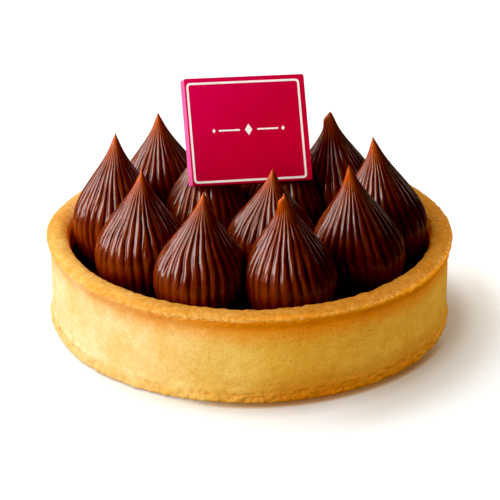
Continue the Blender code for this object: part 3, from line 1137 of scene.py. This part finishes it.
@dataclass
class SwirlBed:
    """All the swirls, which flatten where they meet each other, the shell and the plaque."""

    seat: float = 12.8
    sink: float = 0.3
    knots: tuple[tuple[float, float], ...] = (
        (-0.05, 0.78), (0.0, 0.83), (0.08, 0.905), (0.16, 0.972), (0.25, 1.0), (0.35, 0.968), (0.45, 0.862),
        (0.55, 0.702), (0.65, 0.515), (0.75, 0.328), (0.85, 0.170), (0.93, 0.074), (1.0, 0.0), (1.05, 0.0),
    )
    lean_power: float = 2.2
    hook_power: float = 14.0
    ridges: int = 28
    ridge_points: int = 12
    ridge_depth: float = 0.066
    ridge_shape: float = 0.8
    ridge_shift: Layers = ((1.4, 0.0, 0.40), (0.55, 3.0, 0.17))
    ridge_change: Layers = ((0.6, 5.0, 0.22),)
    ridge_tip: Span = (0.02, 0.16)
    ridge_seat: Span = (0.02, 0.45)
    ridge_seat_share: float = 0.42
    splits: Patches = (0.22, 17.0, 0.3, 0.0, 0.5)
    split_ridges: float = 3.0
    split_shift: float = 2.0
    relief_climb: float = 2.0
    wobble: Layers = ((0.018, 11.0, 0.8),)
    twist: float = math.radians(-11.0)
    rings: int = 74
    crowding: float = 1.25
    blunt_power: float = 40.0
    blunt_climb: Span = (0.5, 0.95)
    first_seed: int = 50
    wall_limit: float = 35.9
    contact_gap: float = 0.04
    softness: float = 3.0
    facing_limit: float = 0.05
    swirls: tuple[Swirl, ...] = (
        Swirl(
            "swirl_front_right", 7.7, -25.2, 9.35, 37.3, -1.2, 0.0,
            curls=(Curl(205.0, 0.935, 0.62, spread=0.8, above=0.015, below=0.085),),
        ),
        Swirl("swirl_right_front", 21.1, -13.8, 9.35, 38.05, -2.1, 0.0),
        Swirl("swirl_right", 26.5, -0.5, 9.30, 38.15, -2.3, 0.4),
        Swirl(
            "swirl_right_back", 17.8, 14.5, 9.20, 37.4, -1.8, 0.0, hook_x=0.30, blunt=0.62,
            curls=(Curl(190.0, 0.930, 0.50, above=0.035, below=0.060),),
        ),
        Swirl("swirl_back", 0.2, 25.4, 9.60, 36.8, 0.6, -0.5),
        Swirl("swirl_left_back", -17.6, 14.7, 9.25, 37.15, -0.9, 0.0),
        Swirl("swirl_left", -26.4, 0.5, 9.00, 38.5, 0.0, 0.4),
        Swirl("swirl_left_front", -21.0, -13.5, 9.30, 36.9, 0.3, 0.0),
        Swirl("swirl_front_left", -9.2, -24.3, 9.30, 37.1, 0.6, 0.0),
        Swirl("swirl_middle_front", 4.5, -7.5, 9.40, 34.5, 0.0, 0.0),
        Swirl("swirl_middle_left", -8.4, 3.7, 8.90, 36.8, -0.2, 2.7),
        Swirl("swirl_middle_right", 6.4, 8.5, 9.00, 36.4, 0.2, 2.9),
    )
    under_plaque: tuple[str, ...] = ("swirl_middle_left", "swirl_middle_right")

    def _profile(self, climb: Array) -> Array:
        """Share of the belly's radius at each climb from the seat to the tip.

        Args:
            climb: climbs, 0 at the seat and 1 at the tip.

        Returns:
            One share for each climb, on a smooth line through the knots.
        """
        at, share = np.array(self.knots).T
        slope = np.gradient(share, at)
        row = np.clip(np.searchsorted(at, climb) - 1, 0, len(at) - 2)
        width = at[row + 1] - at[row]
        t = (climb - at[row]) / width
        start = (1.0 + 2.0 * t) * (1.0 - t) ** 2 * share[row] + t * (1.0 - t) ** 2 * width * slope[row]
        end = t**2 * (3.0 - 2.0 * t) * share[row + 1] + t**2 * (t - 1.0) * width * slope[row + 1]
        return np.maximum(start + end, 0.0)

    def _room(self, swirl: Swirl, origin: Array, direction: Array) -> list[Array]:
        """How far a swirl may reach before the wall and each neighbour.

        Args:
            swirl: the swirl.
            origin: points of its axis, one a ring.
            direction: unit directions, for each ring and point.

        Returns:
            One array of reaches for the wall and for each neighbour.
        """
        ahead = np.einsum("kc,kmc->km", origin, direction)
        inside = ahead**2 - (origin**2).sum(axis=1)[:, None] + self.wall_limit**2
        reaches = [-ahead + np.sqrt(inside)]
        centre = np.array([swirl.x, swirl.y])
        for other in self.swirls:
            if other.name == swirl.name:
                continue
            across = np.array([other.x, other.y]) - centre
            distance = float(np.hypot(*across))
            unit = across / distance
            facing = direction @ unit
            share = (distance**2 + swirl.radius**2 - other.radius**2) / (2.0 * distance)
            room = share - self.contact_gap - ((origin - centre) @ unit)[:, None]
            reach = room / np.maximum(facing, self.facing_limit)
            reaches.append(np.where(facing > self.facing_limit, reach, 4.0 * swirl.radius))
        return reaches

    def _soft_least(self, values: list[Array]) -> Array:
        """A smooth minimum, always a little under the least value."""
        stack = np.stack(values)
        least = stack.min(axis=0)
        return least - np.log(np.exp(-self.softness * (stack - least)).sum(axis=0)) / self.softness

    def _skin(self, swirl: Swirl, number: int) -> tuple[Array, Array, Array]:
        """Points, groove depths and climbs of one swirl.

        Args:
            swirl: the swirl.
            number: its place in the list, which turns its ridges and sets its random relief.

        Returns:
            Rings of points, the share of groove at each and the climb at each.
        """
        relief = Unevenness(self.first_seed + number)
        height = swirl.tip - self.seat
        climb = 1.0 - (1.0 - np.linspace(0.0, 1.0, self.rings)[:, None]) ** self.crowding
        climb[0] = -self.sink / height
        share = np.clip(climb, 0.0, 1.0)
        count = self.ridges * self.ridge_points
        crest = np.arange(count) / count * math.tau
        turn = crest + number + self.twist * climb
        places = round_places(1.0, turn, climb * self.relief_climb)
        shift = relief.layers(places, self.ridge_shift)
        phase = self.ridges * crest + shift
        groove = 1.0 - np.abs(np.cos(phase / 2.0)) ** self.ridge_shape
        split = np.cos(self.split_ridges * phase + self.split_shift * shift)
        fine = relief.patches(places, self.splits) * (1.0 - split) / 2.0
        at_seat = self.ridge_seat_share + (1.0 - self.ridge_seat_share) * smooth_step(climb, *self.ridge_seat)
        fade = smooth_step(1.0 - climb, *self.ridge_tip) * at_seat
        cut = self.ridge_depth * fade * ((1.0 + relief.layers(places, self.ridge_change)) * groove + fine)
        belly = swirl.radius * self._profile(climb) * (1.0 + relief.layers(places, self.wobble))
        blunt = swirl.blunt * (1.0 - share**self.blunt_power) * smooth_step(climb, *self.blunt_climb)
        radius = np.hypot(belly * (1.0 - cut), blunt)
        for curl in swirl.curls:
            around = hill(np.radians(degrees_from(curl.angle, turn)), curl.spread)
            tall = np.where(climb > curl.climb, curl.above, curl.below)
            radius = radius + curl.reach * around * hill(climb - curl.climb, tall)
        sway = share**self.lean_power
        axis_x = swirl.x + swirl.lean_x * sway + swirl.hook_x * share**self.hook_power
        origin = np.hstack([axis_x, swirl.y + swirl.lean_y * sway])
        direction = np.stack([np.cos(turn), np.sin(turn)], axis=-1)
        reach = self._soft_least([radius] + self._room(swirl, origin, direction))
        flat = origin[:, None, :] + direction * reach[..., None]
        level = np.broadcast_to(self.seat + climb * height, reach.shape)
        rings = np.concatenate([flat, level[..., None]], axis=-1)
        return rings, groove * fade, np.broadcast_to(share, reach.shape)

    def build(self, finish: Material, plaque: Plaque) -> list[Object]:
        """Make all the swirls.

        Args:
            finish: their material.
            plaque: the plaque that two of them carry.

        Returns:
            The swirls.
        """
        pieces = []
        for number, swirl in enumerate(self.swirls):
            rings, groove, climb = self._skin(swirl, number)
            if swirl.name in self.under_plaque:
                rings = plaque.press(rings, self.contact_gap)
            low = (swirl.x, swirl.y, self.seat - self.sink)
            top = (swirl.x + swirl.lean_x + swirl.hook_x, swirl.y + swirl.lean_y, swirl.tip)
            mesh = mesh_from_rings(swirl.name, rings[:-1], low, top)
            # groove depth, which the chocolate turns into painted shade
            add_values(mesh, "groove", groove[:-1], (0.0, 0.0))
            add_values(mesh, "climb", climb[:-1], (0.0, 1.0))
            pieces.append(add_piece("piped_" + swirl.name, mesh, finish, [swirl.name]))
        return pieces


class Lit(Enum):
    """Group of things that a lamp lights."""

    FLOOR = "floor"
    PASTRY = "pastry"
    CHOCOLATE = "chocolate"


@dataclass(frozen=True)
class SoftBox:
    """A large soft lamp aimed at the tart, with its sizes in metres."""

    name: str
    azimuth: float
    elevation: float
    distance: float
    width: float
    height: float
    power: float
    colour: Colour
    lights: tuple[Lit, ...]
    shades: bool = True
    mirrored: bool = True

    def build(self, target: Vector, groups: dict[Lit, Sequence[Object]]) -> None:
        """Hang the lamp.

        Args:
            target: the point that it faces.
            groups: what stands in each group.
        """
        turn, rise = math.radians(self.azimuth), math.radians(self.elevation)
        away = Vector((math.sin(turn) * math.cos(rise), -math.cos(turn) * math.cos(rise), math.sin(rise)))
        light = bpy.data.lights.new(self.name, "AREA")
        light.shape = "RECTANGLE"
        light.size = self.width
        light.size_y = self.height
        light.energy = self.power
        light.color = self.colour
        lamp = bpy.data.objects.new(self.name, light)
        lamp.location = target + away * self.distance
        lamp.rotation_euler = away.to_track_quat("Z", "Y").to_euler()
        receivers = bpy.data.collections.new(self.name + "_lights")
        for group in self.lights:
            for piece in groups[group]:
                receivers.objects.link(piece)
        lamp.light_linking.receiver_collection = receivers
        if not self.shades:
            lamp.light_linking.blocker_collection = receivers
        lamp.visible_glossy = self.mirrored
        bpy.context.scene.collection.objects.link(lamp)


@dataclass(frozen=True)
class Tint:
    """A painted shadow on the floor, warm and darkest near the tart, on one side of it.

    away is where it is full and where it ends, from the middle, with its strength at each.
    out is how far out on its side it starts and is full.
    """

    colour: Colour
    side: Triple
    out: Span
    away: Span


@dataclass
class Studio:
    """Pale floor, soft lamps and the camera. Its own sizes are metres, but for the floor's tones."""

    camera_distance: float = 0.5
    camera_elevation: float = 25.45
    camera_aim: Triple = (0.0001, 0.0, 0.0133)
    focal_pixels: float = 2490.0
    frame_pixels: float = 500.0
    sensor: float = 36.0
    lamp_aim: Triple = (0.0, 0.0, 0.02)
    floor_size: float = 8.0
    floor_colour: Colour = (0.90, 0.895, 0.885)
    floor_roughness: float = 0.9
    floor_bounce: Colour = (0.12, 0.10, 0.08)
    # painted shadows on the floor: a warm contact shadow at the front and a wider shade on the right
    painted_shadows: tuple[Tint, ...] = (
        Tint((0.36, 0.13, 0.03), (0.45, -0.89, 0.0), (27.0, 38.0), (40.1, 41.9, 0.62, 0.0)),
        Tint((0.42, 0.30, 0.17), (0.92, -0.39, 0.0), (30.0, 43.0), (40.6, 57.0, 0.44, 0.0)),
    )
    # painted light: the floor shines for the camera only, more further from the tart
    painted_floor_light: Span = (40.3, 46.5, 0.0, 0.24)
    painted_floor_light_colour: Colour = (0.93, 0.98, 1.0)
    sky: Colour = (1.0, 0.93, 0.84)
    sky_strength: float = 0.04
    black_point: float = 0.004
    lamps: tuple[SoftBox, ...] = (
        SoftBox("wall_left", -58.0, 13.0, 0.9, 0.62, 0.34, 7.5, (1.0, 0.97, 0.93), (Lit.PASTRY,)),
        SoftBox("wall_back", -122.0, 13.0, 0.9, 0.50, 0.34, 3.8, (1.0, 0.97, 0.95), (Lit.PASTRY,)),
        SoftBox("wall_top", 90.0, 80.0, 1.1, 1.0, 1.0, 10.0, (1.0, 0.95, 0.90), (Lit.PASTRY,)),
        SoftBox("wall_front", -10.0, 8.0, 0.9, 0.9, 0.2, 2.6, (1.0, 0.96, 0.88), (Lit.PASTRY,)),
        SoftBox("wall_right", 82.0, 8.0, 0.9, 0.6, 0.2, 3.15, (1.0, 0.97, 0.95), (Lit.PASTRY,)),
        SoftBox("floor_back", -126.0, 48.0, 0.9, 0.8, 0.8, 9.0, (1.0, 1.0, 0.98), (Lit.FLOOR,)),
        SoftBox("floor_front", -20.0, 66.0, 1.1, 1.0, 1.0, 7.5, (1.0, 1.0, 0.98), (Lit.FLOOR,), shades=False),
        SoftBox("gloss_left", -71.0, 28.0, 0.9, 0.58, 0.66, 10.8, (1.0, 0.97, 0.97), (Lit.CHOCOLATE,)),
        SoftBox("gloss_back", -126.0, 30.0, 0.9, 0.40, 0.60, 4.3, (1.0, 0.89, 0.84), (Lit.CHOCOLATE,)),
        SoftBox("gloss_right", 128.0, 20.0, 0.9, 0.20, 0.40, 0.6, (1.0, 0.78, 0.62), (Lit.CHOCOLATE,)),
        SoftBox("soft_front", -62.0, 6.0, 0.9, 0.5, 0.16, 1.5, (1.0, 0.96, 0.92), (Lit.CHOCOLATE,), mirrored=False),
    )

    def _camera(self) -> None:
        """Place the camera at the photograph's view."""
        data = bpy.data.cameras.new("camera")
        data.sensor_width = self.sensor
        data.lens = self.focal_pixels / self.frame_pixels * self.sensor
        camera = bpy.data.objects.new("camera", data)
        rise = math.radians(self.camera_elevation)
        away = Vector((0.0, -math.cos(rise), math.sin(rise)))
        camera.location = Vector(self.camera_aim) + away * self.camera_distance
        camera.rotation_euler = away.to_track_quat("Z", "Y").to_euler()
        bpy.context.scene.collection.objects.link(camera)
        bpy.context.scene.camera = camera

    def _floor(self) -> Object:
        """Lay the pale floor.

        Returns:
            The floor.
        """
        half = self.floor_size / 2
        mesh = bpy.data.meshes.new("floor")
        corners = [(-half, -half, 0.0), (half, -half, 0.0), (half, half, 0.0), (-half, half, 0.0)]
        mesh.from_pydata(corners, [], [(0, 1, 2, 3)])
        floor = bpy.data.objects.new("floor", mesh)
        bpy.context.scene.collection.objects.link(floor)
        paint = Paint("pale_floor")
        in_camera = paint.add("LightPath").outputs["Is Camera Ray"]
        away = paint.add("VectorMath", {0: paint.place}, operation="LENGTH").outputs["Value"]
        # Painted shadow: the floor's colour darkens near the tart's foot and on its right.
        shadow_painted: Feed = self.floor_colour
        for tint in self.painted_shadows:
            out = paint.add("VectorMath", {0: paint.place, 1: tint.side}, operation="DOT_PRODUCT")
            depth = paint.times(paint.rise(away, *tint.away), paint.rise(out.outputs["Value"], *tint.out))
            tone = paint.add("Gamma", {"Color": tint.colour, "Gamma": depth}).outputs[0]
            shadow_painted = paint.mix(1.0, shadow_painted, tone, "MULTIPLY")
        mesh.materials.append(paint.finish({
            "Base Color": paint.mix(in_camera, self.floor_bounce, shadow_painted),
            # Painted light: for the camera only, the floor shines more with distance from the tart, lightening its
            # shadow's outer edge.
            "Emission Strength": paint.times(paint.rise(away, *self.painted_floor_light), in_camera),
            "Emission Color": self.painted_floor_light_colour,
            "Roughness": self.floor_roughness,
            "Specular IOR Level": 0.0,
        }))
        return floor

    def _sky(self) -> None:
        """Set the even light that comes from all round, which gloss doesn't show."""
        world = bpy.data.worlds.new("studio")
        world.use_nodes = True
        background = world.node_tree.nodes["Background"]
        bench = Bench(world.node_tree)
        in_gloss = bench.add("LightPath").outputs["Is Glossy Ray"]
        bench.feed(background.inputs["Color"], self.sky)
        bench.feed(background.inputs["Strength"], bench.rise(in_gloss, 0.0, 1.0, self.sky_strength, 0.0))
        bpy.context.scene.world = world

    def build(self, pastry: Sequence[Object], chocolate: Sequence[Object]) -> None:
        """Set up the floor, the light and the camera.

        Args:
            pastry: the shell and the plaque's pieces.
            chocolate: the filling and the swirls.
        """
        view = bpy.context.scene.view_settings
        view.view_transform = "Standard"
        view.use_curve_mapping = True
        view.curve_mapping.black_level = (self.black_point,) * 3
        view.curve_mapping.update()
        self._camera()
        self._sky()
        groups = {Lit.FLOOR: [self._floor()], Lit.PASTRY: pastry, Lit.CHOCOLATE: chocolate}
        for lamp in self.lamps:
            lamp.build(Vector(self.lamp_aim), groups)


def main() -> None:
    """Build the tart and its studio."""
    logging.basicConfig(level=logging.INFO, format="%(name)s: %(message)s")
    effects = SharedEffects()
    shell = Shell().build(ShortcrustFinish(effects).build())
    dark = SmoothFinish(
        effects, "dark_filling", first=(0.012, 0.002, 0.0), second=(0.03, 0.005, 0.0), patch=4.0,
        roughness=0.35, gloss=0.3, bump=0.2,
    )
    filling = Filling().build(dark.build())
    plaque = Plaque()
    white = SmoothFinish(
        effects, "white_line", first=(0.88, 0.86, 0.85), second=(0.84, 0.82, 0.81), patch=2.0,
        roughness=0.40, gloss=0.4, bump=0.05,
    )
    square = plaque.build(CrimsonFinish(effects).build(), white.build())
    swirls = SwirlBed().build(ChocolateFinish(effects).build(), plaque)
    Studio().build([shell, *square], [filling, *swirls])


if __name__ == "__main__":
    main()
